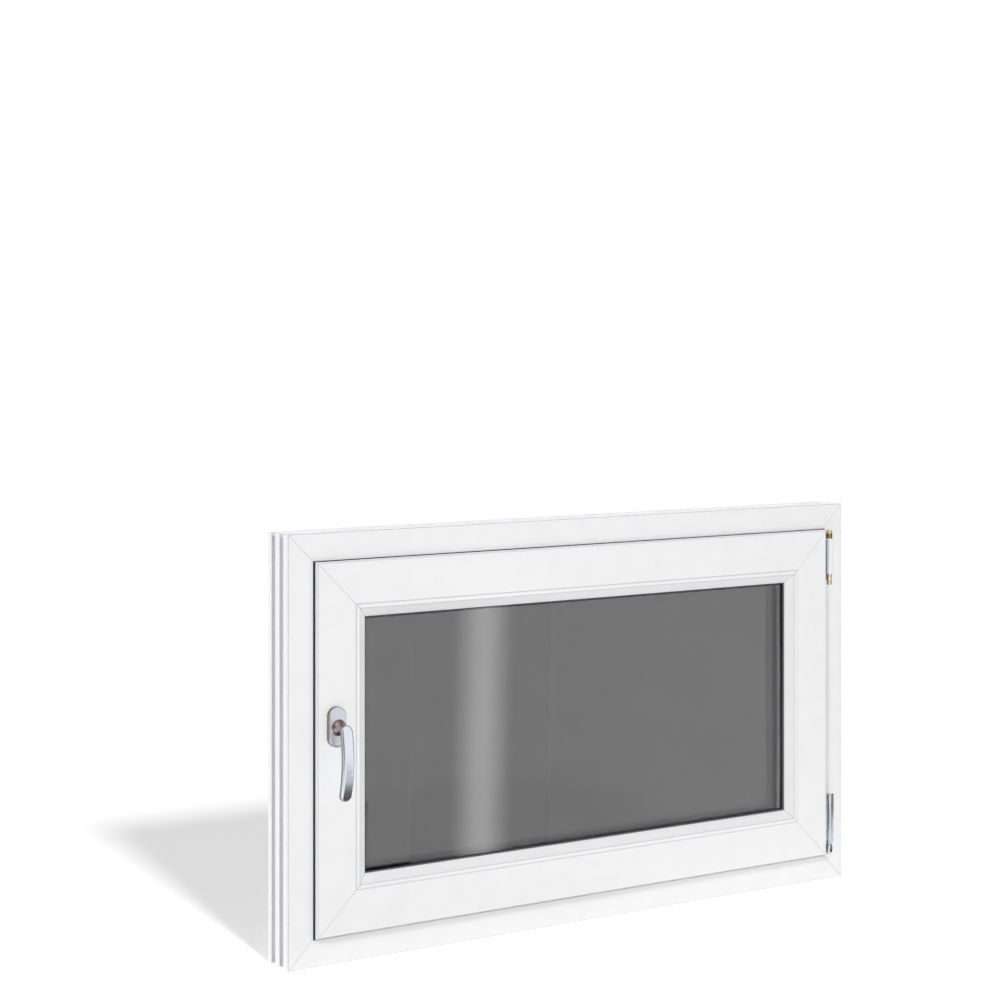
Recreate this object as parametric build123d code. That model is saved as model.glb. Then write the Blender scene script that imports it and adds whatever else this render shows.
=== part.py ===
from build123d import *
import os

# White PVC tilt-and-turn basement window, closed, standing on its sill. Millimetres.
# X runs to the right as seen from the room, Y to the outside and Z up.
# The origin is in the middle of the frame's underside.

# Whole window
WINDOW_WIDTH = 1000.0
WINDOW_HEIGHT = 600.0
WALL = 2.8  # outer walls of the extrusions
WEB = 1.5  # webs between chambers
EDGE = 0.8  # rounding of the plain profile edges

# Outer frame extrusion
FRAME_DEPTH = 60.0
FRAME_SIGHT = 39.5  # face left showing beside the sash, room side
SASH_OVERLAP = 8.0  # sash flange over the frame's face
REBATE_GAP = 12.0  # hardware space round the sash
LIP_COVER = 6.0  # outside lip over the sash
LIP_THICKNESS = 12.0
LIP_FALL = 4.0  # slope of the lip's top for running water
ROOM_CHAMBER = 9.0  # depth of the chamber on the room side

# Anchor slots all round the frame's wall side
SLOT_SETBACK = 15.0  # first slot's middle from the outside face
SLOT_PITCH = 24.0
SLOT_MOUTH = 12.5
SLOT_WIDTH = 14.5
SLOT_LIP = 2.0
SLOT_DEPTH = 11.0

# Sash extrusion
SASH_PROUD = 11.0  # sash face ahead of the frame's face
SASH_FACE = 61.5  # from the flange edge to the bead
SASH_BEVEL_WIDTH = 2.5  # sloped show edge of the flange
SASH_BEVEL_DEPTH = 4.5
SASH_ROOM_CHAMBER = 5.0  # depth of the chamber on the room side
LAP_SEAL = 5.0  # gap under the flange, taken by the inner gasket
LAP_SEAL_NOSE = 0.9  # how far that gasket's lip shows past the flange
STOP_SEAL = 4.0  # gap behind the frame's lip, taken by the outer gasket
LEG_THICKNESS = 13.0  # outside leg that carries the glass
LEG_FALL = 7.0
GROOVE_AXIS = 13.0  # hardware groove's middle from the back of the flange
GROOVE_WIDTH = 12.0
GROOVE_DEPTH = 9.0
GROOVE_STEP_WIDTH = 16.0
GROOVE_STEP_DEPTH = 3.0

# Glazing beads, clipped into the sash on the room side
BEAD_LAND = 6.0  # part flush with the sash face
BEAD_SLOPE = 13.0  # sloping part, up to the sight line
BEAD_NOSE = 1.5
CLIP_SETBACK = 5.0
CLIP_WIDTH = 3.0
CLIP_DEPTH = 4.0
CLIP_PLAY = 0.2

# Insulating glass
PANE = 4.0
CAVITY = 16.0
GLASS_EDGE_GAP = 5.0
GLAZING_SEAL_IN = 3.0
GLAZING_SEAL_OUT = 4.0
GLAZING_SEAL_HEIGHT = 7.0
SEAL_NOSE = 0.9  # how far the gaskets stand past the parts that hold them
BEAD_SEAL_NOSE = 1.8  # the same for the gasket under the beads
SPACER_SETBACK = 4.0
SPACER_HEIGHT = 7.0

# Handle on the lock stile
HANDLE_INSET = 28.5  # spindle from the edge of the sash
HANDLE_HEIGHT = 332.0
ROSETTE_LENGTH = 56.0
ROSETTE_WIDTH = 27.0
ROSETTE_THICKNESS = 8.0
ROSETTE_ROUND = 2.5
COLLAR_RADIUS = 10.2
COLLAR_FOOT = 12.6  # collar's radius where it flares out on the rosette
COLLAR_HEIGHT = 2.5
NECK_GAP = 0.3  # running gap between the collar and the neck
NECK_RADIUS = 10.0
NECK_WAIST = 6.0
FLARE_SAG = 0.3  # hollowness of the collar's and neck's sides
JOURNAL_RADIUS = 8.0
JOURNAL_PLAY = 0.05
JOURNAL_LENGTH = 7.0
GRIP_WIDTH = 17.0
GRIP_THICKNESS = 11.0
GRIP_LENGTH = 105.0
GRIP_RISE = 6.0  # grip's upper end above the spindle
GRIP_TOP_REACH = 29.0  # middle of the grip off the sash face, at its top
GRIP_BOW_REACH = 35.5  # at the middle of its length
GRIP_TIP_REACH = 26.0  # at its tip
GRIP_ROUND = 4.0

# Hinges in the step beside the sash
HINGE_OFFSET = 8.0  # axis from the edge of the sash
HINGE_STAND = 7.5  # axis ahead of the frame's face
PIN_RADIUS = 2.2
PIN_PLAY = 0.05
KNUCKLE_RADIUS = 4.9
KNUCKLE_HEIGHT = 14.0
KNUCKLE_DOME = 3.0  # rounding of the knuckle's top
KNUCKLE_DROP = 0.5  # knuckle's top below the edge of the sash
LUG_DEPTH = 2.4
COVER_RADIUS = 5.3
COVER_WALL = 1.2
COVER_LENGTH = 56.5
COVER_PLAY = 0.1
COVER_OPENING = 3.8  # edge of the cover's open side, from the axis towards the sash
BEARING_TAIL = 10.7  # bearing below its cover
BEARING_NECK = 4.4  # thickness of the bearing between its barrel and its plate
PLATE_THICKNESS = 1.5
PLATE_GAP = 1.6  # from the plate to the sash
PIN_HEAD_RADIUS = 4.2
PIN_HEAD_LENGTH = 6.6
LEAF_BOTTOM = 19.5  # leaf's lower end above the bottom edge of the sash
LEAF_LENGTH = 78.0
LEAF_FIN = 3.0
LEAF_THICKNESS = 2.5
LEAF_LUG_SETBACK = 5.0
PIVOT_REACH = 40.0  # pivot pin inside the leaf
PIVOT_SHOULDER = 2.0
CUP_RISE = 2.5  # cup's lower end above the bottom edge of the sash
CUP_FLOOR = 3.0
CUP_FOOT_RADIUS = 3.4
CUP_RADIUS = 5.4
CUP_RIM_RADIUS = 3.9
CUP_GAP = 4.8  # slot between the cup's two claws

# Drain slots and caps on the outside of the sill
DRAIN_SPREAD = 600.0
DRAIN_HEIGHT = 18.0
DRAIN_SLOT_LENGTH = 30.0
DRAIN_SLOT_WIDTH = 5.0
CAP_LENGTH = 44.0
CAP_HEIGHT = 14.0
CAP_DEPTH = 6.0
CAP_WALL = 1.6
CAP_ROUND = 2.0

# Planes across the depth, from the room to the outside
FRAME_ROOM_Y = -FRAME_DEPTH / 2
FRAME_OUT_Y = FRAME_DEPTH / 2
SASH_ROOM_Y = FRAME_ROOM_Y - SASH_PROUD
BEVEL_Y = SASH_ROOM_Y + SASH_BEVEL_DEPTH
CLIP_Y = SASH_ROOM_Y + CLIP_SETBACK
FLANGE_BACK_Y = FRAME_ROOM_Y - LAP_SEAL
LIP_Y = FRAME_OUT_Y - LIP_THICKNESS
SASH_OUT_Y = LIP_Y - STOP_SEAL
LEG_Y = SASH_OUT_Y - LEG_THICKNESS
GLASS_OUT_Y = LEG_Y - GLAZING_SEAL_OUT
GLASS_ROOM_Y = GLASS_OUT_Y - 2 * PANE - CAVITY
BEAD_BACK_Y = GLASS_ROOM_Y - GLAZING_SEAL_IN

# Insets from the outer edge of the frame towards the glass
FLANGE_INSET = FRAME_SIGHT
REBATE_INSET = FRAME_SIGHT + SASH_OVERLAP
SASH_INSET = REBATE_INSET + REBATE_GAP
LIP_INSET = SASH_INSET + LIP_COVER
BEAD_INSET = FRAME_SIGHT + SASH_FACE
CREASE_INSET = BEAD_INSET + BEAD_LAND
SIGHT_INSET = CREASE_INSET + BEAD_SLOPE
GLASS_INSET = BEAD_INSET + GLASS_EDGE_GAP

# Hinge axis beside the sash, in plan
SASH_EDGE_X = WINDOW_WIDTH / 2 - FLANGE_INSET
HINGE_X = SASH_EDGE_X + HINGE_OFFSET
HINGE_Y = FRAME_ROOM_Y - HINGE_STAND


def section(*corners):
    """Closed section from rows of depth, inset and, where a corner is rounded, its radius."""
    points = [corner[:2] for corner in corners]
    radii = [corner[2] if len(corner) > 2 else 0 for corner in corners]
    return make_face(FilletPolyline(*points, radius=radii, close=True))


def chamber(y_from, y_to, inset_from, inset_to):
    """Rectangular chamber of an extrusion."""
    return section((y_from, inset_from), (y_to, inset_from), (y_to, inset_to), (y_from, inset_to))


def clip_step(width, depth):
    """Corners of the bead's clip groove, or of the foot in it, on the line between bead and sash."""
    near = CLIP_Y + width / 2
    far = CLIP_Y - width / 2
    floor = BEAD_INSET - depth
    return [(near, BEAD_INSET), (near, floor), (far, floor), (far, BEAD_INSET)]


def undercut(middle, mouth, width, lip, level, depth):
    """Corners of a recess whose mouth and inside differ in width."""
    return [
        (middle - mouth / 2, level),
        (middle - mouth / 2, level + lip),
        (middle - width / 2, level + lip),
        (middle - width / 2, level + depth),
        (middle + width / 2, level + depth),
        (middle + width / 2, level + lip),
        (middle + mouth / 2, level + lip),
        (middle + mouth / 2, level),
    ]


def mitred_bars(profile):
    """Sill, head, left and right bars of one section, mitred at the four corners."""
    bars = []
    for turn, length, reach in (
        (0, WINDOW_WIDTH, WINDOW_HEIGHT),
        (180, WINDOW_WIDTH, WINDOW_HEIGHT),
        (90, WINDOW_HEIGHT, WINDOW_WIDTH),
        (-90, WINDOW_HEIGHT, WINDOW_WIDTH),
    ):
        bar = extrude(Plane.YZ * profile, length / 2, both=True)
        for hand in (-1, 1):
            mitre = Plane((hand * length / 2, 0, 0), x_dir=(0, 1, 0), z_dir=(hand, 0, 1))
            bar = split(bar, mitre, Keep.BOTTOM)
        bars.append(Pos(0, 0, WINDOW_HEIGHT / 2) * Rot(0, turn, 0) * Pos(0, 0, -reach / 2) * bar)
    return bars


def loop(profile):
    """One closed ring of a section, joined at its corners."""
    sill, head, left, right = mitred_bars(profile)
    return sill + head + left + right


def pane(y_from):
    """One sheet of the insulating glass."""
    width = WINDOW_WIDTH - 2 * GLASS_INSET
    height = WINDOW_HEIGHT - 2 * GLASS_INSET
    return Pos(0, y_from + PANE / 2, WINDOW_HEIGHT / 2) * Box(width, PANE, height)


def upright(outline, z_from, z_to):
    """Vertical prism of an outline drawn in plan."""
    return Pos(0, 0, z_from) * extrude(outline, z_to - z_from)


def plan_disc(radius):
    """Round outline about the hinge axis, in plan."""
    return Pos(HINGE_X, HINGE_Y) * Circle(radius)


def plan_block(x_from, x_to, y_from, y_to):
    """Rectangular outline in plan."""
    middle = Pos((x_from + x_to) / 2, (y_from + y_to) / 2)
    return middle * Rectangle(x_to - x_from, y_to - y_from)


def barrel_on_neck(radius, neck):
    """Outline of a barrel with a flat right flank, on a neck that reaches back to the frame's face."""
    return plan_disc(radius) + plan_block(HINGE_X - neck / 2, HINGE_X + radius, HINGE_Y, FRAME_ROOM_Y)


def turned(side):
    """Solid turned about the Z axis from a side given as radius and height."""
    start = side @ 0
    end = side @ 1
    closing = Polyline(end, (0, end.Y), (0, start.Y), start)
    return revolve(Plane.XZ * make_face([side, closing]), Axis.Z)


def flared(radius_from, z_from, radius_to, z_to):
    """Turned piece whose hollow side sweeps in from a wide base to a narrow top."""
    radius = radius_to + FLARE_SAG * (radius_from - radius_to)
    z = z_from + FLARE_SAG * (z_to - z_from)
    return turned(ThreePointArc((radius_from, z_from), (radius, z), (radius_to, z_to)))


# Outer frame: three chambers, two anchor slots at the wall, a stop lip on the outside
LIP_EDGE = LIP_INSET - LIP_FALL
SLOT_OUT_Y = FRAME_OUT_Y - SLOT_SETBACK
frame_outline = section(
    (FRAME_ROOM_Y, 0, EDGE),
    *undercut(SLOT_OUT_Y - SLOT_PITCH, SLOT_MOUTH, SLOT_WIDTH, SLOT_LIP, 0, SLOT_DEPTH),
    *undercut(SLOT_OUT_Y, SLOT_MOUTH, SLOT_WIDTH, SLOT_LIP, 0, SLOT_DEPTH),
    (FRAME_OUT_Y, 0, EDGE),
    (FRAME_OUT_Y, LIP_EDGE, 2 * EDGE),
    (LIP_Y, LIP_INSET, EDGE),
    (LIP_Y, REBATE_INSET),
    (FRAME_ROOM_Y, REBATE_INSET, 2 * EDGE),
)
ROOM_WEB_Y = FRAME_ROOM_Y + WALL + ROOM_CHAMBER
LIP_WEB_Y = LIP_Y + WALL
SLOT_ROOF = SLOT_DEPTH + WALL
frame_profile = frame_outline - [
    chamber(FRAME_ROOM_Y + WALL, ROOM_WEB_Y, WALL, REBATE_INSET - WALL),
    chamber(ROOM_WEB_Y + WEB, LIP_WEB_Y - WEB, SLOT_ROOF, REBATE_INSET - WALL),
    chamber(LIP_WEB_Y, FRAME_OUT_Y - WALL, SLOT_ROOF, LIP_EDGE - WALL),
]
frame_sill, frame_head, frame_left_jamb, frame_right_jamb = mitred_bars(frame_profile)

# Drain slots through the sill's outside wall, each under a hooded cap
drain_caps = []
for hand in (-1, 1):
    drain = Pos(hand * DRAIN_SPREAD / 2, FRAME_OUT_Y, DRAIN_HEIGHT)
    frame_sill -= drain * Box(DRAIN_SLOT_LENGTH, 2 * WALL + WEB, DRAIN_SLOT_WIDTH)
    hood = extrude(Plane.ZX * RectangleRounded(CAP_HEIGHT, CAP_LENGTH, CAP_ROUND), CAP_DEPTH)
    hood = fillet(hood.faces().sort_by(Axis.Y)[-1].edges(), CAP_ROUND)
    hollow_height = CAP_HEIGHT - CAP_WALL
    hollow = Box(CAP_LENGTH - 2 * CAP_WALL - 2 * CAP_ROUND, CAP_DEPTH - CAP_WALL, hollow_height)
    hood -= Pos(0, (CAP_DEPTH - CAP_WALL) / 2, -CAP_WALL / 2) * hollow
    drain_caps.append(drain * hood)

# Sash: flange over the frame, hardware groove, outside leg for the glass, groove for the beads
GROOVE_Y = FLANGE_BACK_Y + GROOVE_AXIS
LEG_EDGE = SIGHT_INSET - LEG_FALL
sash_outline = section(
    (SASH_ROOM_Y, FLANGE_INSET + SASH_BEVEL_WIDTH, EDGE),
    (BEVEL_Y, FLANGE_INSET, EDGE / 2),
    (FLANGE_BACK_Y, FLANGE_INSET, EDGE / 2),
    (FLANGE_BACK_Y, SASH_INSET),
    *undercut(GROOVE_Y, GROOVE_STEP_WIDTH, GROOVE_WIDTH, GROOVE_STEP_DEPTH, SASH_INSET, GROOVE_DEPTH),
    (SASH_OUT_Y, SASH_INSET, EDGE),
    (SASH_OUT_Y, LEG_EDGE, 2 * EDGE),
    (LEG_Y, SIGHT_INSET, EDGE),
    (LEG_Y, BEAD_INSET),
    *clip_step(CLIP_WIDTH, CLIP_DEPTH),
    (SASH_ROOM_Y, BEAD_INSET, EDGE),
)
SASH_WEB_Y = SASH_ROOM_Y + WALL + SASH_ROOM_CHAMBER
LEG_WEB_Y = LEG_Y + WALL
GROOVE_ROOF = SASH_INSET + GROOVE_DEPTH + WALL
CLIP_WALL = BEAD_INSET - CLIP_DEPTH - WALL
sash_profile = sash_outline - [
    chamber(SASH_ROOM_Y + WALL, SASH_WEB_Y, GROOVE_ROOF, CLIP_WALL),
    chamber(SASH_WEB_Y + WEB, LEG_WEB_Y - WEB, GROOVE_ROOF, CLIP_WALL),
    chamber(LEG_WEB_Y, SASH_OUT_Y - WALL, SASH_INSET + WALL, LEG_EDGE - WALL),
]
sash_bottom_rail, sash_top_rail, sash_lock_stile, sash_hinge_stile = mitred_bars(sash_profile)

# Glazing beads: a land flush with the sash, a slope down to the glass, a foot in the clip groove
foot_width = CLIP_WIDTH - 2 * CLIP_PLAY
foot_depth = CLIP_DEPTH - CLIP_PLAY
bead_profile = section(
    (SASH_ROOM_Y, BEAD_INSET, EDGE),
    (SASH_ROOM_Y, CREASE_INSET, EDGE),
    (BEAD_BACK_Y - BEAD_NOSE, SIGHT_INSET, 2 * EDGE),
    (BEAD_BACK_Y, SIGHT_INSET, EDGE / 2),
    (BEAD_BACK_Y, BEAD_INSET),
    *clip_step(foot_width, foot_depth),
)
bead_bottom, bead_top, bead_left, bead_right = mitred_bars(bead_profile)


def seal(y_from, y_to, inset_from, inset_to, nose):
    """Gasket section that fills a gap, rounded where it shows."""
    back = y_from, inset_from
    front = y_to, inset_from
    return section(back, front, (y_to, inset_to, nose), (y_from, inset_to, nose))


# Gaskets: under the sash flange, behind the frame's lip, and on both sides of the glass
lap_seal_top = FLANGE_INSET - LAP_SEAL_NOSE
sash_gasket = loop(seal(FLANGE_BACK_Y, FRAME_ROOM_Y, REBATE_INSET - 2 * EDGE, lap_seal_top, EDGE))
frame_gasket = loop(seal(SASH_OUT_Y, LIP_Y, SASH_INSET + EDGE, LIP_INSET + SEAL_NOSE, EDGE))
seal_base = SIGHT_INSET - GLAZING_SEAL_HEIGHT
bead_seal_top = SIGHT_INSET + BEAD_SEAL_NOSE
leg_seal_top = SIGHT_INSET + SEAL_NOSE
glazing_gasket_room = loop(seal(BEAD_BACK_Y, GLASS_ROOM_Y, seal_base, bead_seal_top, EDGE))
glazing_gasket_outside = loop(seal(GLASS_OUT_Y, LEG_Y, seal_base, leg_seal_top, EDGE))

# Insulating glass: two panes kept apart by a spacer round the edge
CAVITY_Y = GLASS_ROOM_Y + PANE
glass_room_pane = pane(GLASS_ROOM_Y)
glass_outside_pane = pane(CAVITY_Y + CAVITY)
spacer_base = GLASS_INSET + SPACER_SETBACK
glass_spacer = loop(chamber(CAVITY_Y, CAVITY_Y + CAVITY, spacer_base, spacer_base + SPACER_HEIGHT))

# Handle: drawn with X across, Y up and Z off the sash face, about the spindle
SPINDLE = Plane(
    (FLANGE_INSET + HANDLE_INSET - WINDOW_WIDTH / 2, SASH_ROOM_Y, HANDLE_HEIGHT),
    x_dir=(1, 0, 0),
    z_dir=(0, -1, 0),
)
COLLAR_TOP = ROSETTE_THICKNESS + COLLAR_HEIGHT
rosette = extrude(SlotOverall(ROSETTE_LENGTH, ROSETTE_WIDTH, rotation=90), ROSETTE_THICKNESS)
rosette = fillet(rosette.faces().sort_by(Axis.Z)[-1].edges(), ROSETTE_ROUND)
rosette += flared(COLLAR_FOOT, ROSETTE_THICKNESS, COLLAR_RADIUS, COLLAR_TOP)
rosette -= extrude(Circle(JOURNAL_RADIUS + JOURNAL_PLAY), COLLAR_TOP)
handle_rosette = SPINDLE * rosette

# Lever: a bowed flat grip with round ends on a waisted neck, its journal inside the rosette
NECK_BASE = COLLAR_TOP + NECK_GAP
GRIP_TIP = GRIP_RISE - GRIP_LENGTH
GRIP_MIDDLE = (GRIP_RISE + GRIP_TIP) / 2


def grip_arc(offset):
    """Bow of the grip in side view, at an offset from its middle line."""
    return ThreePointArc(
        (GRIP_TOP_REACH + offset, GRIP_RISE),
        (GRIP_BOW_REACH + offset, GRIP_MIDDLE),
        (GRIP_TIP_REACH + offset, GRIP_TIP),
    )


front_arc = grip_arc(GRIP_THICKNESS / 2)
back_arc = grip_arc(-GRIP_THICKNESS / 2)
side_outline = make_face(
    [front_arc, Line(front_arc @ 1, back_arc @ 1), back_arc, Line(back_arc @ 0, front_arc @ 0)]
)
side_plane = Plane((0, 0, 0), x_dir=(0, 0, 1), z_dir=(-1, 0, 0))
side_bar = extrude(side_plane * side_outline, GRIP_WIDTH, both=True)
front_outline = Pos(0, GRIP_MIDDLE) * SlotOverall(GRIP_LENGTH, GRIP_WIDTH, rotation=90)
grip = side_bar & extrude(front_outline, GRIP_BOW_REACH + GRIP_THICKNESS)
grip = fillet(grip.edges(), GRIP_ROUND)
neck = flared(NECK_RADIUS, NECK_BASE, NECK_WAIST, GRIP_TOP_REACH)
journal = Pos(0, 0, NECK_BASE - JOURNAL_LENGTH) * extrude(Circle(JOURNAL_RADIUS), JOURNAL_LENGTH)
handle_lever = SPINDLE * (grip + neck + journal)

# Upper hinge: knuckle on the sash, bearing on the frame under a slip-on cover, one pin through both
KNUCKLE_TOP = WINDOW_HEIGHT - FLANGE_INSET - KNUCKLE_DROP
COVER_TOP = KNUCKLE_TOP - KNUCKLE_HEIGHT
COVER_BOTTOM = COVER_TOP - COVER_LENGTH
BEARING_BOTTOM = COVER_BOTTOM - BEARING_TAIL
pin_bore = upright(plan_disc(PIN_RADIUS + PIN_PLAY), 0, WINDOW_HEIGHT)
lug_back = HINGE_Y + LUG_DEPTH
lug_reach = SASH_BEVEL_WIDTH * (BEVEL_Y - HINGE_Y) / SASH_BEVEL_DEPTH
lug_outline = make_face(
    Polyline(
        (HINGE_X, HINGE_Y),
        (SASH_EDGE_X - lug_reach, HINGE_Y),
        (SASH_EDGE_X, BEVEL_Y),
        (SASH_EDGE_X, lug_back),
        (HINGE_X, lug_back),
        close=True,
    )
)
upper_hinge_knuckle = upright(plan_disc(KNUCKLE_RADIUS), COVER_TOP, KNUCKLE_TOP)
upper_hinge_knuckle = fillet(upper_hinge_knuckle.edges().sort_by(Axis.Z)[-1], KNUCKLE_DOME)
upper_hinge_knuckle += upright(lug_outline, COVER_TOP, KNUCKLE_TOP - KNUCKLE_DOME)
upper_hinge_knuckle -= pin_bore
bearing_radius = COVER_RADIUS - COVER_WALL - COVER_PLAY
bearing_top = COVER_TOP - COVER_WALL
plate_front = FRAME_ROOM_Y - PLATE_THICKNESS
plate = plan_block(SASH_EDGE_X + PLATE_GAP, HINGE_X + bearing_radius, plate_front, FRAME_ROOM_Y)
bearing_outline = barrel_on_neck(bearing_radius, BEARING_NECK) + plate
upper_hinge_bearing = upright(bearing_outline, BEARING_BOTTOM, bearing_top) - pin_bore
cover_skirt = plan_block(HINGE_X, HINGE_X + COVER_RADIUS, HINGE_Y, FRAME_ROOM_Y)
upper_hinge_cover = upright(plan_disc(COVER_RADIUS) + cover_skirt, COVER_BOTTOM, COVER_TOP) - pin_bore
cover_hollow = barrel_on_neck(bearing_radius + COVER_PLAY, BEARING_NECK + 2 * COVER_PLAY)
upper_hinge_cover -= upright(cover_hollow, COVER_BOTTOM, bearing_top)
cover_opening = plan_block(
    HINGE_X - 2 * COVER_RADIUS,
    HINGE_X - COVER_OPENING,
    HINGE_Y - COVER_RADIUS,
    FRAME_ROOM_Y,
)
upper_hinge_cover -= upright(cover_opening, COVER_BOTTOM, bearing_top)
pin_head = upright(plan_disc(PIN_HEAD_RADIUS), BEARING_BOTTOM - PIN_HEAD_LENGTH, BEARING_BOTTOM)
upper_hinge_pin = pin_head + upright(plan_disc(PIN_RADIUS), BEARING_BOTTOM, KNUCKLE_TOP)

# Lower hinge: rolled leaf on the sash, pivot pin under it, clawed cup on the frame
LEAF_Z = FLANGE_INSET + LEAF_BOTTOM
LEAF_TOP = LEAF_Z + LEAF_LENGTH
fin_end = HINGE_X + KNUCKLE_RADIUS + LEAF_FIN
fin_front = HINGE_Y - LEAF_THICKNESS / 2
leaf_fin = plan_block(HINGE_X, fin_end, fin_front, fin_front + LEAF_THICKNESS)
leaf_outline = plan_disc(KNUCKLE_RADIUS) + leaf_fin
lower_hinge_leaf = upright(leaf_outline, LEAF_Z, LEAF_TOP)
lower_hinge_leaf += upright(lug_outline, LEAF_Z + LEAF_LUG_SETBACK, LEAF_TOP - LEAF_LUG_SETBACK)
lower_hinge_leaf -= upright(plan_disc(PIN_RADIUS + PIN_PLAY), LEAF_Z, LEAF_Z + PIVOT_REACH + PIN_PLAY)
SHOULDER_Z = LEAF_Z - PIVOT_SHOULDER
CUP_Z = FLANGE_INSET + CUP_RISE
cup_height = SHOULDER_Z - CUP_Z
lower_hinge_pivot = upright(plan_disc(PIN_RADIUS), CUP_Z + 2 * CUP_FLOOR, LEAF_Z + PIVOT_REACH)
lower_hinge_pivot += upright(plan_disc(PIN_HEAD_RADIUS), SHOULDER_Z, LEAF_Z)
cup_side = ThreePointArc((CUP_FOOT_RADIUS, 0), (CUP_RADIUS, cup_height / 2), (CUP_RIM_RADIUS, cup_height))
cup_foot = plan_block(HINGE_X - CUP_FOOT_RADIUS, HINGE_X + CUP_FOOT_RADIUS, HINGE_Y, FRAME_ROOM_Y)
cup_slot = plan_block(
    HINGE_X - CUP_GAP / 2,
    HINGE_X + CUP_GAP / 2,
    HINGE_Y - CUP_RADIUS - EDGE,
    HINGE_Y + CUP_GAP / 2,
)
lower_hinge_cup = Pos(HINGE_X, HINGE_Y, CUP_Z) * turned(cup_side)
lower_hinge_cup += upright(cup_foot, CUP_Z, SHOULDER_Z)
lower_hinge_cup -= upright(cup_slot, CUP_Z + CUP_FLOOR, SHOULDER_Z)

pieces = {
    "frame_sill": frame_sill,
    "frame_head": frame_head,
    "frame_left_jamb": frame_left_jamb,
    "frame_right_jamb": frame_right_jamb,
    "frame_gasket": frame_gasket,
    "drain_cap_left": drain_caps[0],
    "drain_cap_right": drain_caps[1],
    "sash_bottom_rail": sash_bottom_rail,
    "sash_top_rail": sash_top_rail,
    "sash_lock_stile": sash_lock_stile,
    "sash_hinge_stile": sash_hinge_stile,
    "sash_gasket": sash_gasket,
    "bead_bottom": bead_bottom,
    "bead_top": bead_top,
    "bead_left": bead_left,
    "bead_right": bead_right,
    "glazing_gasket_room": glazing_gasket_room,
    "glazing_gasket_outside": glazing_gasket_outside,
    "glass_room_pane": glass_room_pane,
    "glass_outside_pane": glass_outside_pane,
    "glass_spacer": glass_spacer,
    "handle_rosette": handle_rosette,
    "handle_lever": handle_lever,
    "upper_hinge_knuckle": upper_hinge_knuckle,
    "upper_hinge_bearing": upper_hinge_bearing,
    "upper_hinge_cover": upper_hinge_cover,
    "upper_hinge_pin": upper_hinge_pin,
    "lower_hinge_leaf": lower_hinge_leaf,
    "lower_hinge_pivot": lower_hinge_pivot,
    "lower_hinge_cup": lower_hinge_cup,
}
os.makedirs("parts", exist_ok=True)
for name, piece in pieces.items():
    export_step(piece, f"parts/{name}.step")
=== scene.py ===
import math

import bpy
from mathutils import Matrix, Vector


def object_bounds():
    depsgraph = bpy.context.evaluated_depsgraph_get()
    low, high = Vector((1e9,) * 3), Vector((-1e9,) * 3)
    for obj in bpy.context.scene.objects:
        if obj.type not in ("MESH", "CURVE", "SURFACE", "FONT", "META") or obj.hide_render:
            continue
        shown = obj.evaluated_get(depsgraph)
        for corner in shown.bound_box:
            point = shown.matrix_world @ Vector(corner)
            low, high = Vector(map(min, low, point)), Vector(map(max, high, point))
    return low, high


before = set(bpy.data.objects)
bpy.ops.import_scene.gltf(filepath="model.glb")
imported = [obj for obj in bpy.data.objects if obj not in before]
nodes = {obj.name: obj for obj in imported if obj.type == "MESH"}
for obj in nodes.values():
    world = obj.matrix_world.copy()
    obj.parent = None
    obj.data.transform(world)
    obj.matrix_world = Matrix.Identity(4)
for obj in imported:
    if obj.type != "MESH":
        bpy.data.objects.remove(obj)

cad_low, cad_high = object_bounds()

# Outer frame: four bars of white PVC extrusion, sawn at 45 degrees and butt-welded at the corners.
# The weld bead is planed off, which leaves a fine shadow groove along each mitre. Two anchor slots
# run round the wall side, and a lip on the outside stops the sash.
FRAME_BARS = {"frame_sill": "X", "frame_head": "X", "frame_left_jamb": "Z", "frame_right_jamb": "Z"}
WELD_GROOVE = 0.0003
FACET_JOIN = 0.00002
SHARP_ANGLE = 40


def srgb(code):
    """Linear colour of an sRGB hex value."""
    parts = [int(code[i : i + 2], 16) / 255 for i in (1, 3, 5)]
    return [c / 12.92 if c <= 0.04045 else ((c + 0.055) / 1.055) ** 2.4 for c in parts] + [1.0]


def add(tree, kind, sockets=None, **settings):
    """Adds a node with its settings, and fills or links its sockets."""
    new = tree.nodes.new(kind)
    for name, value in settings.items():
        setattr(new, name, value)
    for name, value in (sockets or {}).items():
        if isinstance(value, bpy.types.NodeSocket):
            tree.links.new(value, new.inputs[name])
        else:
            new.inputs[name].default_value = value
    return new


def surface(name, **constants):
    """A new material, its shader with the given constant values, and its object coordinates in metres."""
    material = bpy.data.materials.new(name)
    material.use_nodes = True
    shader = material.node_tree.nodes["Principled BSDF"]
    for socket, value in constants.items():
        shader.inputs[socket.replace("_", " ")].default_value = value
    place = add(material.node_tree, "ShaderNodeTexCoord").outputs["Object"]
    return material, material.node_tree, shader, place


def soften(node, material, width, segments=2):
    """Dresses a CAD piece: joins its facets, breaks its sharp edges and shades it smooth."""
    piece = nodes[node]
    piece.data.materials.clear()
    piece.data.materials.append(material)
    piece.data.shade_smooth()
    weld = piece.modifiers.new("joined facets", "WELD")
    weld.merge_threshold = FACET_JOIN
    if width:
        edge = piece.modifiers.new("broken edges", "BEVEL")
        edge.width = width
        edge.segments = segments
        edge.limit_method = "ANGLE"
        edge.angle_limit = math.radians(SHARP_ANGLE)
        edge.use_clamp_overlap = False
    normals = piece.modifiers.new("even shading", "WEIGHTED_NORMAL")
    normals.keep_sharp = True


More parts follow.
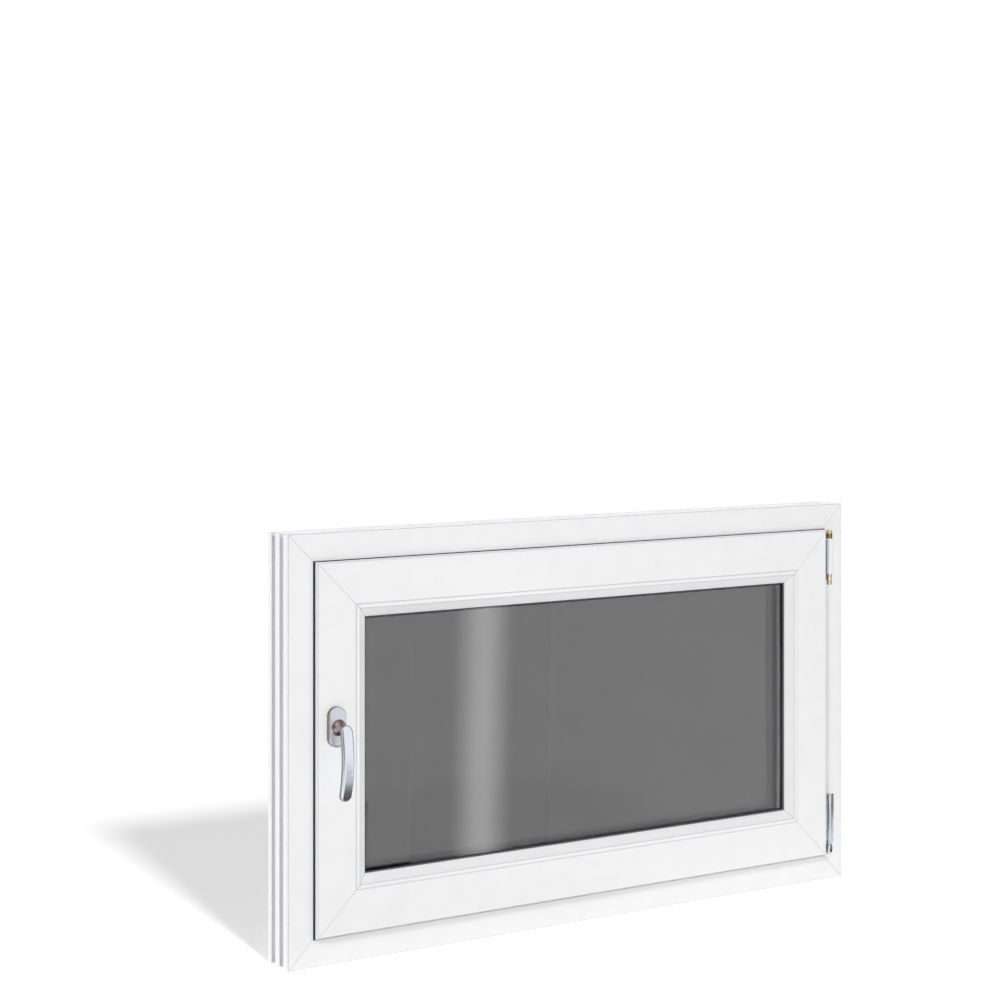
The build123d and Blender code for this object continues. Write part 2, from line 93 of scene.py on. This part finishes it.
# Extruded rigid PVC, window white: a soft gloss from the polished die, faint lines along each bar about
# 1.5 mm apart, and patches of gloss a few centimetres across. Painted shade: grey hairlines along the
# mitres, bead joints and creases and the frame's front arris, and a greyer tone in the anchor slots and
# on the sash's sloped edge.
PVC_WHITE = srgb("#F8F8F8")
PVC_SHADE = srgb("#F5F5F6")
DIE_LINE = 0.0015
DIE_LINE_RUN = 0.4
GLOSS_PATCH = 0.035
SEAM_SHADE_GREY = srgb("#DCDCE0")
SEAM_CORE = 0.0003
SEAM_EDGE = 0.0012
# Painted shade on the frame's rounded front arris, greyer than the other hairlines.
ARRIS_SHADE_GREY = srgb("#B4B4BA")
FRAME_FACE = -0.030
BEAD_INSET = 0.101
BEAD_CREASE = 0.107
SHADE_IN_SLOTS = srgb("#E8E8EC")
SLOT_MIDDLE = 0.003
SLOT_SPREAD = 0.012
SLOT_HALF = 0.0074
SLOT_LIP = 0.0002
SLOT_SHADE = 0.0012
SLOT_FLOOR = 0.012
EDGE_SHADE_GREY = srgb("#E4E4E7")
EDGE_INSET = 0.0425
EDGE_LIFT = 0.0035


def from_outline(tree, spot):
    """Distances of a spot from the window's upright sides, from its top and bottom, and from the nearer."""
    middle = cad_high[2] / 2
    side = add(tree, "ShaderNodeMath", {0: spot["X"]}, operation="ABSOLUTE").outputs[0]
    side = add(tree, "ShaderNodeMath", {0: cad_high[0], 1: side}, operation="SUBTRACT").outputs[0]
    level = add(tree, "ShaderNodeMath", {0: spot["Z"], 1: middle}, operation="SUBTRACT").outputs[0]
    level = add(tree, "ShaderNodeMath", {0: level}, operation="ABSOLUTE").outputs[0]
    level = add(tree, "ShaderNodeMath", {0: middle, 1: level}, operation="SUBTRACT").outputs[0]
    return side, level, add(tree, "ShaderNodeMath", {0: side, 1: level}, operation="MINIMUM").outputs[0]


def extruded_pvc(run):
    """Window white PVC whose die lines run along the given axis."""
    pvc, tree, shader, place = surface(f"extruded_white_pvc_{run}", IOR=1.53, Specular_IOR_Level=0.45)
    stretch = [1 / DIE_LINE_RUN if axis == run else 1 / DIE_LINE for axis in "XYZ"]
    along = add(tree, "ShaderNodeMapping", {"Vector": place, "Scale": stretch}).outputs[0]
    lines = add(tree, "ShaderNodeTexNoise", {"Vector": along, "Scale": 1.0, "Detail": 2.0}).outputs[0]
    patches = {"Vector": place, "Scale": 1 / GLOSS_PATCH, "Detail": 3.0}
    patches = add(tree, "ShaderNodeTexNoise", patches).outputs[0]
    tint = add(tree, "ShaderNodeValToRGB", {"Fac": patches})
    tint.color_ramp.elements[0].position = 0.3
    tint.color_ramp.elements[0].color = PVC_SHADE
    tint.color_ramp.elements[1].position = 0.7
    tint.color_ramp.elements[1].color = PVC_WHITE
    colour = tint.outputs["Color"]

    # Painted shade: hairlines, each by its distance from the line
    spot = add(tree, "ShaderNodeSeparateXYZ", {0: place}).outputs
    side, level, inset = from_outline(tree, spot)
    mitre = add(tree, "ShaderNodeMath", {0: side, 1: level}, operation="SUBTRACT").outputs[0]
    joint = add(tree, "ShaderNodeMath", {0: inset, 1: BEAD_INSET}, operation="SUBTRACT").outputs[0]
    crease = add(tree, "ShaderNodeMath", {0: inset, 1: BEAD_CREASE}, operation="SUBTRACT").outputs[0]
    behind = add(tree, "ShaderNodeMath", {0: spot["Y"], 1: FRAME_FACE}, operation="SUBTRACT").outputs[0]
    arris = add(tree, "ShaderNodeMath", {0: inset, 1: behind}, operation="MAXIMUM").outputs[0]
    reach = {"From Min": SEAM_CORE, "From Max": SEAM_EDGE, "To Min": 1.0, "To Max": 0.0}
    for gap, grey in ((mitre, SEAM_SHADE_GREY), (joint, SEAM_SHADE_GREY), (crease, SEAM_SHADE_GREY), (arris, ARRIS_SHADE_GREY)):
        gap = add(tree, "ShaderNodeMath", {0: gap}, operation="ABSOLUTE").outputs[0]
        seam = add(tree, "ShaderNodeMapRange", {"Value": gap, **reach}).outputs[0]
        seamed = {"Factor": seam, "A": colour, "B": grey}
        colour = add(tree, "ShaderNodeMix", seamed, data_type="RGBA").outputs["Result"]

    # Painted shade in the anchor slots
    off = add(tree, "ShaderNodeMath", {0: spot["Y"], 1: SLOT_MIDDLE}, operation="SUBTRACT").outputs[0]
    off = add(tree, "ShaderNodeMath", {0: off}, operation="ABSOLUTE").outputs[0]
    across = {0: off, 1: SLOT_SPREAD, 2: SLOT_HALF}
    across = add(tree, "ShaderNodeMath", across, operation="COMPARE").outputs[0]
    shallow = add(tree, "ShaderNodeMath", {0: inset, 1: SLOT_FLOOR}, operation="LESS_THAN").outputs[0]
    deep = {"Value": inset, "From Min": SLOT_LIP, "From Max": SLOT_SHADE}
    deep = add(tree, "ShaderNodeMapRange", deep).outputs[0]
    in_slot = add(tree, "ShaderNodeMath", {0: across, 1: shallow}, operation="MULTIPLY").outputs[0]
    in_slot = add(tree, "ShaderNodeMath", {0: in_slot, 1: deep}, operation="MULTIPLY").outputs[0]
    slotted = {"Factor": in_slot, "A": colour, "B": SHADE_IN_SLOTS}
    colour = add(tree, "ShaderNodeMix", slotted, data_type="RGBA").outputs["Result"]

    # Painted shade on the sloped edge of the sash, ahead of the frame's face
    ahead = add(tree, "ShaderNodeMath", {0: behind, 1: -EDGE_LIFT}, operation="LESS_THAN").outputs[0]
    outer = add(tree, "ShaderNodeMath", {0: inset, 1: EDGE_INSET}, operation="LESS_THAN").outputs[0]
    on_edge = add(tree, "ShaderNodeMath", {0: ahead, 1: outer}, operation="MULTIPLY").outputs[0]
    edged = {"Factor": on_edge, "A": colour, "B": EDGE_SHADE_GREY}
    colour = add(tree, "ShaderNodeMix", edged, data_type="RGBA").outputs["Result"]

    tree.links.new(colour, shader.inputs["Base Color"])
    gloss = add(tree, "ShaderNodeMapRange", {"Value": patches, "To Min": 0.27, "To Max": 0.40}).outputs[0]
    tree.links.new(gloss, shader.inputs["Roughness"])
    relief = {"Height": lines, "Strength": 0.12, "Distance": 0.0002}
    tree.links.new(add(tree, "ShaderNodeBump", relief).outputs[0], shader.inputs["Normal"])
    return pvc


pvc_along = {run: extruded_pvc(run) for run in "XZ"}
for bar, run in FRAME_BARS.items():
    soften(bar, pvc_along[run], WELD_GROOVE)

# Seals: extruded rubber pressed into grooves of the profiles, one under the sash's flange, one behind
# the frame's lip, and one on each side of the glass. Only a thin dark line of each shows.
# EPDM rubber is matt with a fine talc-like bloom, a few millimetres across. The seal at the bead is grey.
SEALS = {
    "extruded_black_epdm": ("#1B1C20", "#2C2E34", ("frame_gasket", "sash_gasket", "glazing_gasket_outside")),
    "extruded_grey_epdm": ("#4C4D52", "#5C5D63", ("glazing_gasket_room",)),
}
BLOOM = 0.004
for name, (dark, bloomed, seals) in SEALS.items():
    rubber, tree, shader, place = surface(name, Roughness=0.62, IOR=1.5, Specular_IOR_Level=0.35)
    bloom = {"Vector": place, "Scale": 1 / BLOOM, "Detail": 4.0}
    bloom = add(tree, "ShaderNodeTexNoise", bloom).outputs[0]
    bloom_tint = add(tree, "ShaderNodeValToRGB", {"Fac": bloom})
    bloom_tint.color_ramp.elements[0].color = srgb(dark)
    bloom_tint.color_ramp.elements[1].color = srgb(bloomed)
    tree.links.new(bloom_tint.outputs["Color"], shader.inputs["Base Color"])
    for seal in seals:
        soften(seal, rubber, 0)

# Drain caps: small hoods of white plastic clipped over the drain slots in the sill's outside wall.
# Injection-moulded ABS has a fine spark-eroded grain, here 0.6 mm, and is duller than the profile.
ABS_WHITE = srgb("#F4F5F7")
ABS_SHADE = srgb("#EEEFF2")
ABS_GRAIN = 0.0006
CAP_EDGE = 0.0003
abs_white, tree, shader, place = surface(
    "moulded_white_abs", Roughness=0.45, IOR=1.53, Specular_IOR_Level=0.45
)
grain = add(tree, "ShaderNodeTexNoise", {"Vector": place, "Scale": 1 / ABS_GRAIN, "Detail": 2.0}).outputs[0]
grain_tint = add(tree, "ShaderNodeValToRGB", {"Fac": grain})
grain_tint.color_ramp.elements[0].color = ABS_SHADE
grain_tint.color_ramp.elements[1].color = ABS_WHITE
tree.links.new(grain_tint.outputs["Color"], shader.inputs["Base Color"])
pits = add(tree, "ShaderNodeBump", {"Height": grain, "Strength": 0.15, "Distance": 0.0001}).outputs[0]
tree.links.new(pits, shader.inputs["Normal"])
for cap in ("drain_cap_left", "drain_cap_right"):
    soften(cap, abs_white, CAP_EDGE)

# Sash: four welded bars of a second PVC extrusion. Its flange laps over the frame with a sloped
# edge, and a groove for the lock gear runs round it, hidden while the sash is closed.
SASH_BARS = {
    "sash_bottom_rail": "X",
    "sash_top_rail": "X",
    "sash_lock_stile": "Z",
    "sash_hinge_stile": "Z",
}
for bar, run in SASH_BARS.items():
    soften(bar, pvc_along[run], WELD_GROOVE)

# Glazing beads: slim PVC strips clipped into the sash round the glass, mitred but not welded; the joints
# at their corners and along the sash are bevelled grooves and show as hairlines of painted shade.
BEAD_JOINT = 0.0006
BEADS = {"bead_bottom": "X", "bead_top": "X", "bead_left": "Z", "bead_right": "Z"}
for bead, run in BEADS.items():
    soften(bead, pvc_along[run], BEAD_JOINT)

# Insulating glass: a clear float pane to the room and a grey one to the outside, held apart by a spacer.
# Float glass is flat and bright on both sides, so the panes mirror the studio, and the grey body lets
# little light through. Butyl between pane and spacer shows as a thin dark line round the clear pane.
CLEAR_BODY = srgb("#F9F9F9")
GREY_BODY = srgb("#464647")
BUTYL_DARK = srgb("#3C3C40")
GLASS_SIGHT = 0.1218
BUTYL_LINE = 0.0020
PANES = {
    "glass_room_pane": ("clear_float_glass", CLEAR_BODY, GLASS_SIGHT + BUTYL_LINE),
    "glass_outside_pane": ("grey_float_glass", GREY_BODY, GLASS_SIGHT),
}
for sheet, (name, body, butyl_edge) in PANES.items():
    glass, tree, shader, place = surface(name, Roughness=0.0, IOR=1.52, Transmission_Weight=1.0)
    spot = add(tree, "ShaderNodeSeparateXYZ", {0: place}).outputs
    inset = from_outline(tree, spot)[-1]
    on_butyl = add(tree, "ShaderNodeMath", {0: inset, 1: butyl_edge}, operation="LESS_THAN").outputs[0]
    sealed = {"Factor": on_butyl, "A": body, "B": BUTYL_DARK}
    sealed = add(tree, "ShaderNodeMix", sealed, data_type="RGBA").outputs["Result"]
    tree.links.new(sealed, shader.inputs["Base Color"])
    soften(sheet, glass, 0)

# Spacer: a bar of glass-filled plastic round the edge, light grey, that holds the panes apart.
# It is extruded matt, with a fine grain about 1 mm across.
SPACER_GREY = srgb("#DADADC")
SPACER_GRAIN = srgb("#E2E2E4")
GRAIN_SIZE = 0.001
spacer, tree, shader, place = surface("grey_spacer_plastic", Roughness=0.6, IOR=1.5, Specular_IOR_Level=0.3)
fibre = add(tree, "ShaderNodeTexNoise", {"Vector": place, "Scale": 1 / GRAIN_SIZE, "Detail": 2.0}).outputs[0]
fibre_tint = add(tree, "ShaderNodeValToRGB", {"Fac": fibre})
fibre_tint.color_ramp.elements[0].color = SPACER_GREY
fibre_tint.color_ramp.elements[1].color = SPACER_GRAIN
tree.links.new(fibre_tint.outputs["Color"], shader.inputs["Base Color"])
soften("glass_spacer", spacer, 0)

# Handle: a die-cast rosette screwed to the lock stile under a cap, and a lever that turns in it.
# Silver anodised aluminium: a fine satin from the etch bath before anodising, grains about 0.3 mm,
# cool and even, with soft reflections. The grip is the brightest part.
ANODISED_LIGHT = srgb("#D6DAE0")
ANODISED_DARK = srgb("#C7CBD2")
GRIP_BRIGHT = srgb("#E1E7EF")
ETCH_GRAIN = 0.0003
anodised, tree, shader, place = surface("silver_anodised_aluminium", Metallic=1.0)
etch = add(tree, "ShaderNodeTexNoise", {"Vector": place, "Scale": 1 / ETCH_GRAIN, "Detail": 3.0}).outputs[0]
etch_tint = add(tree, "ShaderNodeValToRGB", {"Fac": etch})
etch_tint.color_ramp.elements[0].color = ANODISED_DARK
etch_tint.color_ramp.elements[1].color = ANODISED_LIGHT
satin = add(tree, "ShaderNodeMapRange", {"Value": etch, "To Min": 0.24, "To Max": 0.32}).outputs[0]
tree.links.new(satin, shader.inputs["Roughness"])

# Plastic base plate between the rosette and the sash, moulded matt, a few millimetres thick, not metallic;
# its brown is a painted reflection.
SASH_FACE = -0.041
BASE_PLATE = 0.0042
PLATE_BROWN_REFLECTION = srgb("#5A4436")
depth = add(tree, "ShaderNodeSeparateXYZ", {0: place}).outputs["Y"]
plate_front = SASH_FACE - BASE_PLATE
in_plate = add(tree, "ShaderNodeMath", {0: depth, 1: plate_front}, operation="GREATER_THAN").outputs[0]
plated = {"Factor": in_plate, "A": etch_tint.outputs["Color"], "B": PLATE_BROWN_REFLECTION}
plated = add(tree, "ShaderNodeMix", plated, data_type="RGBA").outputs["Result"]

# Collar and neck, where the lever turns in the rosette: a painted brown-grey reflection.
NECK_FOOT = SASH_FACE - 0.0085
NECK_HEAD = SASH_FACE - 0.0225
FOOT_FADE = 0.0003
HEAD_FADE = 0.0015
NECK_BROWN_REFLECTION = srgb("#B4A6A0")
foot = {"Value": depth, "From Min": NECK_FOOT + FOOT_FADE, "From Max": NECK_FOOT - FOOT_FADE}
foot = add(tree, "ShaderNodeMapRange", foot).outputs[0]
head = {"Value": depth, "From Min": NECK_HEAD - HEAD_FADE, "From Max": NECK_HEAD + HEAD_FADE}
head = add(tree, "ShaderNodeMapRange", head).outputs[0]
in_neck = add(tree, "ShaderNodeMath", {0: foot, 1: head}, operation="MULTIPLY").outputs[0]
gripped = {"Factor": head, "A": GRIP_BRIGHT, "B": plated}
gripped = add(tree, "ShaderNodeMix", gripped, data_type="RGBA").outputs["Result"]
necked = {"Factor": in_neck, "A": gripped, "B": NECK_BROWN_REFLECTION}
necked = add(tree, "ShaderNodeMix", necked, data_type="RGBA").outputs["Result"]

# Painted dark reflection: where the metal is seen at a slant its colour goes dark grey, so that its rounded
# edges go dark.
SLANT_DARK_REFLECTION = srgb("#6E6862")
slant = add(tree, "ShaderNodeLayerWeight", {"Blend": 0.5}).outputs["Facing"]
slant = add(tree, "ShaderNodeMapRange", {"Value": slant, "From Min": 0.28, "From Max": 0.62}).outputs[0]
edged = {"Factor": slant, "A": necked, "B": SLANT_DARK_REFLECTION}
edged = add(tree, "ShaderNodeMix", edged, data_type="RGBA").outputs["Result"]
tree.links.new(edged, shader.inputs["Base Color"])
bare = add(tree, "ShaderNodeMath", {0: 1.0, 1: in_plate}, operation="SUBTRACT").outputs[0]
tree.links.new(bare, shader.inputs["Metallic"])
for metal in ("handle_rosette", "handle_lever"):
    soften(metal, anodised, 0)
    nodes[metal].visible_shadow = False

# Upper hinge: a steel knuckle on the sash and a bearing on the frame, one pin through both, with a
# slip-on white cover over the bearing.
# Yellow passivated zinc on steel: shiny gold with faint olive and rose clouds about 3 mm across.
PASSIVE_GOLD = srgb("#ECDDB8")
PASSIVE_OLIVE = srgb("#D2BF92")
PASSIVE_CLOUD = 0.003
HINGE_EDGE = 0.0004
HINGE_STEPS = 3
gold_steel, tree, shader, place = surface("yellow_passivated_steel", Metallic=1.0)
clouds = {"Vector": place, "Scale": 1 / PASSIVE_CLOUD, "Detail": 2.0}
clouds = add(tree, "ShaderNodeTexNoise", clouds).outputs[0]
cloud_tint = add(tree, "ShaderNodeValToRGB", {"Fac": clouds})
cloud_tint.color_ramp.elements[0].position = 0.35
cloud_tint.color_ramp.elements[0].color = PASSIVE_OLIVE
cloud_tint.color_ramp.elements[1].position = 0.65
cloud_tint.color_ramp.elements[1].color = PASSIVE_GOLD
shine = add(tree, "ShaderNodeMapRange", {"Value": clouds, "To Min": 0.08, "To Max": 0.14}).outputs[0]
tree.links.new(shine, shader.inputs["Roughness"])

# Painted reflection: below the knuckle's domed top the barrels are painted a darker brown. The bearing's
# barrel has a moulded bluish-white plastic liner that the cover slips over, and its plate at the back, seen
# in the gap beside the sash, is painted near-black as a painted shadow.
BARREL_BROWN_REFLECTION = srgb("#94805F")
BARREL_TOP = 0.5540
LINER_FOOT = 0.4895
LINER_HEAD = 0.5455
LINER_WHITE = srgb("#E6EBF6")
# Painted shadow: the bearing's plate in the gap beside the sash.
PLATE_SHADOW_DARK = srgb("#171B23")
PLATE_DEPTH = -0.0340
spot = add(tree, "ShaderNodeSeparateXYZ", {0: place}).outputs
above = add(tree, "ShaderNodeMath", {0: spot["Z"], 1: LINER_FOOT}, operation="GREATER_THAN").outputs[0]
below = add(tree, "ShaderNodeMath", {0: spot["Z"], 1: LINER_HEAD}, operation="LESS_THAN").outputs[0]
in_liner = add(tree, "ShaderNodeMath", {0: above, 1: below}, operation="MULTIPLY").outputs[0]
in_barrel = add(tree, "ShaderNodeMath", {0: spot["Z"], 1: BARREL_TOP}, operation="LESS_THAN").outputs[0]
in_barrel = add(tree, "ShaderNodeMath", {0: in_barrel, 1: above}, operation="MULTIPLY").outputs[0]
at_back = add(tree, "ShaderNodeMath", {0: spot["Y"], 1: PLATE_DEPTH}, operation="GREATER_THAN").outputs[0]
at_back = add(tree, "ShaderNodeMath", {0: at_back, 1: in_liner}, operation="MULTIPLY").outputs[0]
colour = cloud_tint.outputs["Color"]
for part, shade in ((in_barrel, BARREL_BROWN_REFLECTION), (in_liner, LINER_WHITE), (at_back, PLATE_SHADOW_DARK)):
    recoloured = {"Factor": part, "A": colour, "B": shade}
    colour = add(tree, "ShaderNodeMix", recoloured, data_type="RGBA").outputs["Result"]
tree.links.new(colour, shader.inputs["Base Color"])
bare = add(tree, "ShaderNodeMath", {0: 1.0, 1: in_liner}, operation="SUBTRACT").outputs[0]
tree.links.new(bare, shader.inputs["Metallic"])
UPPER_HINGE = {
    "upper_hinge_knuckle": gold_steel,
    "upper_hinge_bearing": gold_steel,
    "upper_hinge_cover": abs_white,
}
for piece, coat in UPPER_HINGE.items():
    soften(piece, coat, HINGE_EDGE, HINGE_STEPS)
    nodes[piece].visible_shadow = False

# Lower hinge: a pressed steel leaf on the sash that turns on a pivot pin in a clawed cup on the frame.
# Bright zinc-plated steel, like the upper pin: bluish silver with a faint clouding about 2 mm across.
ZINC_BRIGHT = srgb("#D2D7DE")
ZINC_CLOUD = srgb("#B4BAC4")
ZINC_PATCH = 0.002
zinc, tree, shader, place = surface("bright_zinc_plated_steel", Metallic=1.0)
haze = add(tree, "ShaderNodeTexNoise", {"Vector": place, "Scale": 1 / ZINC_PATCH, "Detail": 3.0}).outputs[0]
haze_tint = add(tree, "ShaderNodeValToRGB", {"Fac": haze})
haze_tint.color_ramp.elements[0].position = 0.35
haze_tint.color_ramp.elements[0].color = ZINC_CLOUD
haze_tint.color_ramp.elements[1].position = 0.65
haze_tint.color_ramp.elements[1].color = ZINC_BRIGHT
tree.links.new(haze_tint.outputs["Color"], shader.inputs["Base Color"])
plating = add(tree, "ShaderNodeMapRange", {"Value": haze, "To Min": 0.10, "To Max": 0.18}).outputs[0]
tree.links.new(plating, shader.inputs["Roughness"])
for metal in ("upper_hinge_pin", "lower_hinge_leaf", "lower_hinge_pivot", "lower_hinge_cup"):
    soften(metal, zinc, HINGE_EDGE, HINGE_STEPS)
    nodes[metal].visible_shadow = False

# Studio floor and sky: the window stands on a plain white floor that runs into a white background,
# under a dim white sky. What the camera, mirrors and glass see of both is white; other light finds a
# duller floor and sky, so that the white profiles keep their shades. The floor isn't sampled as a lamp.
FLOOR_SIZE = 60.0
FLOOR_WHITE = srgb("#FFFFFF")
FLOOR_DULL = srgb("#A6A6A6")
FLOOR_GLOW = 0.36
FLOOR_LIFT = 0.55
SKY_WHITE = srgb("#FFFFFF")
SKY_LIGHT = 0.15
SKY_SEEN = 1.0


def seen_rays(tree):
    """One for a ray from the camera, off a mirror or through glass, and nought for others."""
    rays = add(tree, "ShaderNodeLightPath").outputs
    seen = {0: rays["Is Camera Ray"], 1: rays["Is Glossy Ray"]}
    seen = add(tree, "ShaderNodeMath", seen, operation="MAXIMUM").outputs[0]
    seen = {0: seen, 1: rays["Is Transmission Ray"]}
    return add(tree, "ShaderNodeMath", seen, operation="MAXIMUM").outputs[0]


bpy.ops.mesh.primitive_plane_add(size=FLOOR_SIZE)
floor = bpy.context.object
floor.name = "studio_floor"
floor_paint = bpy.data.materials.new("matt_white_studio_floor")
floor_paint.use_nodes = True
floor_paint.cycles.emission_sampling = "NONE"
tree = floor_paint.node_tree
tree.nodes.clear()
seen = seen_rays(tree)
paint = {"Factor": seen, "A": FLOOR_DULL, "B": FLOOR_WHITE}
paint = add(tree, "ShaderNodeMix", paint, data_type="RGBA").outputs["Result"]
matt = add(tree, "ShaderNodeBsdfDiffuse", {"Color": paint}).outputs[0]
level = {"Value": seen, "To Min": FLOOR_GLOW, "To Max": FLOOR_LIFT}
level = add(tree, "ShaderNodeMapRange", level).outputs[0]
glow = add(tree, "ShaderNodeEmission", {"Strength": level}).outputs[0]
lifted = add(tree, "ShaderNodeAddShader", {0: matt, 1: glow}).outputs[0]
add(tree, "ShaderNodeOutputMaterial", {"Surface": lifted})
floor.data.materials.append(floor_paint)

sky = bpy.data.worlds.new("white_studio_sky")
bpy.context.scene.world = sky
sky.use_nodes = True
tree = sky.node_tree
tree.nodes.clear()
level = {"Value": seen_rays(tree), "To Min": SKY_LIGHT, "To Max": SKY_SEEN}
level = add(tree, "ShaderNodeMapRange", level).outputs[0]
white = add(tree, "ShaderNodeBackground", {"Color": SKY_WHITE, "Strength": level}).outputs[0]
add(tree, "ShaderNodeOutputWorld", {"Surface": white})

# Studio lamps, broad and far away, each for one group of pieces: from the front, from high on the
# left for the bars, from the right for the beads alone, so that their four slopes look alike, from
# behind on the left for the wall side, and one that lays the window's shadow on the floor.
LAMPS = {
    "front_lamp": ("window", Vector((0.10, 0.91, -0.38)), 1.46, 6.0),
    "side_lamp": ("bars", Vector((0.700, 0.452, -0.552)), 1.18, 9.0),
    "bead_lamp": ("beads", Vector((-0.25, 0.95, -0.10)), 0.58, 5.0),
    "rim_lamp": ("window", Vector((0.52, -0.50, -0.69)), 1.90, 4.0),
    "high_lamp": ("floor", Vector((0.133, 0.924, -0.600)), 1.90, 6.0),
}
lit = {
    "window": list(nodes.values()),
    "bars": [piece for node, piece in nodes.items() if node not in BEADS],
    "beads": [nodes[bead] for bead in BEADS],
    "floor": [floor],
}
for name, (target, path, strength, angle) in LAMPS.items():
    lamp_data = bpy.data.lights.new(name, "SUN")
    lamp_data.energy = strength
    lamp_data.angle = math.radians(angle)
    lamp = bpy.data.objects.new(name, lamp_data)
    lamp.rotation_euler = path.to_track_quat("-Z", "Y").to_euler()
    lamp.visible_glossy = False
    lamp.light_linking.receiver_collection = bpy.data.collections.new(f"lit_by_{name}")
    for piece in lit[target]:
        lamp.light_linking.receiver_collection.objects.link(piece)
    bpy.context.scene.collection.objects.link(lamp)

# All lamps are picked evenly: by the light tree, lamps for groups of pieces come out noisy in some runs.
bpy.context.scene.cycles.use_light_tree = False

# Reflection cards of the studio: a tall light card whose soft streak the glass mirrors, and dark
# flags that give the polished metal its edges. Only reflections see them, so none is sampled as a lamp.
STREAK_CENTRE = (0.057, -0.41, 0.25)
STREAK_WIDTH = 0.135
STREAK_HEIGHT = 0.49
STREAK_LIGHT = 3.8
TO_WINDOW = (0, 1, 0)
UPWARD = (0, 0, 1)


def card(name, centre, facing, width, height, turn=0):
    """A flat card in the studio that faces a direction, turned in its plane, with an emission shader."""
    bpy.ops.mesh.primitive_plane_add(size=1.0, location=centre)
    board = bpy.context.object
    board.name = name
    board.rotation_euler = Vector(facing).to_track_quat("Z", "Y").to_euler()
    board.rotation_euler.rotate_axis("Z", math.radians(turn))
    board.scale = (width, height, 1.0)
    for ray in ("camera", "diffuse", "transmission", "volume_scatter", "shadow"):
        setattr(board, f"visible_{ray}", False)
    paint = bpy.data.materials.new(name)
    paint.use_nodes = True
    paint.cycles.emission_sampling = "NONE"
    paint.node_tree.nodes.clear()
    board.data.materials.append(paint)
    glow = add(paint.node_tree, "ShaderNodeEmission")
    add(paint.node_tree, "ShaderNodeOutputMaterial", {"Surface": glow.outputs[0]})
    return paint.node_tree, glow


tree, glow = card("streak_card", STREAK_CENTRE, TO_WINDOW, 2 * STREAK_WIDTH, STREAK_HEIGHT)
across = add(tree, "ShaderNodeTexCoord").outputs["Generated"]
across = add(tree, "ShaderNodeSeparateXYZ", {0: across}).outputs["X"]
off = add(tree, "ShaderNodeMath", {0: across, 1: 0.5}, operation="SUBTRACT").outputs[0]
off = add(tree, "ShaderNodeMath", {0: off}, operation="ABSOLUTE").outputs[0]
streak = {"Value": off, "From Min": 0.0, "From Max": 0.25, "To Min": 1.0 + STREAK_LIGHT, "To Max": 1.0}
streak = add(tree, "ShaderNodeMapRange", streak, interpolation_type="SMOOTHSTEP").outputs[0]
tree.links.new(streak, glow.inputs["Strength"])

FLAGS = {
    "right_flag": ("#1E2024", (1.77, -0.94, 0.60), (-0.88, 0.47, 0), 1.00, 1.6),
    "left_flag": ("#8A6A56", (-1.40, -0.35, 0.45), (1, 0, 0), 1.10, 1.3),
    "side_flag": ("#3A3B40", (0.80, -0.27, 0.17), (-1, 0, 0), 0.40, 0.34),
    "low_flag": ("#2A2A2D", (-0.18, -0.265, 0.003), UPWARD, 0.66, 0.37),
}
for name, (shade, centre, facing, width, height) in FLAGS.items():
    tree, glow = card(name, centre, facing, width, height)
    glow.inputs["Color"].default_value = srgb(shade)

FADE_CENTRE = (-0.159, -0.72, 0.002)
FADE_WIDTH = 0.30
FADE_LENGTH = 0.62
FADE_TURN = 28.8
FADE_DARK = 0.10
tree, glow = card("fading_flag", FADE_CENTRE, UPWARD, FADE_WIDTH, FADE_LENGTH, FADE_TURN)
along = add(tree, "ShaderNodeTexCoord").outputs["Generated"]
along = add(tree, "ShaderNodeSeparateXYZ", {0: along}).outputs["Y"]
fade = add(tree, "ShaderNodeMapRange", {"Value": along, "To Min": 1.0, "To Max": FADE_DARK}).outputs[0]
tree.links.new(fade, glow.inputs["Strength"])

# Camera: level, as for architecture, a little above the window and to its left, so that all upright
# edges stay parallel; the sensor is shifted down instead of tilted.
CAMERA_PLACE = (-1.9414, -2.8044, 0.8906)
CAMERA_TURN = -32.793
CAMERA_LENS = 81.65
CAMERA_SHIFT = -0.1769
camera_data = bpy.data.cameras.new("level_view_camera")
camera_data.lens = CAMERA_LENS
camera_data.shift_y = CAMERA_SHIFT
camera = bpy.data.objects.new("level_view_camera", camera_data)
camera.location = CAMERA_PLACE
camera.rotation_euler = (math.radians(90), 0, math.radians(CAMERA_TURN))
bpy.context.scene.collection.objects.link(camera)
bpy.context.scene.camera = camera
bpy.context.scene.view_settings.view_transform = "Standard"
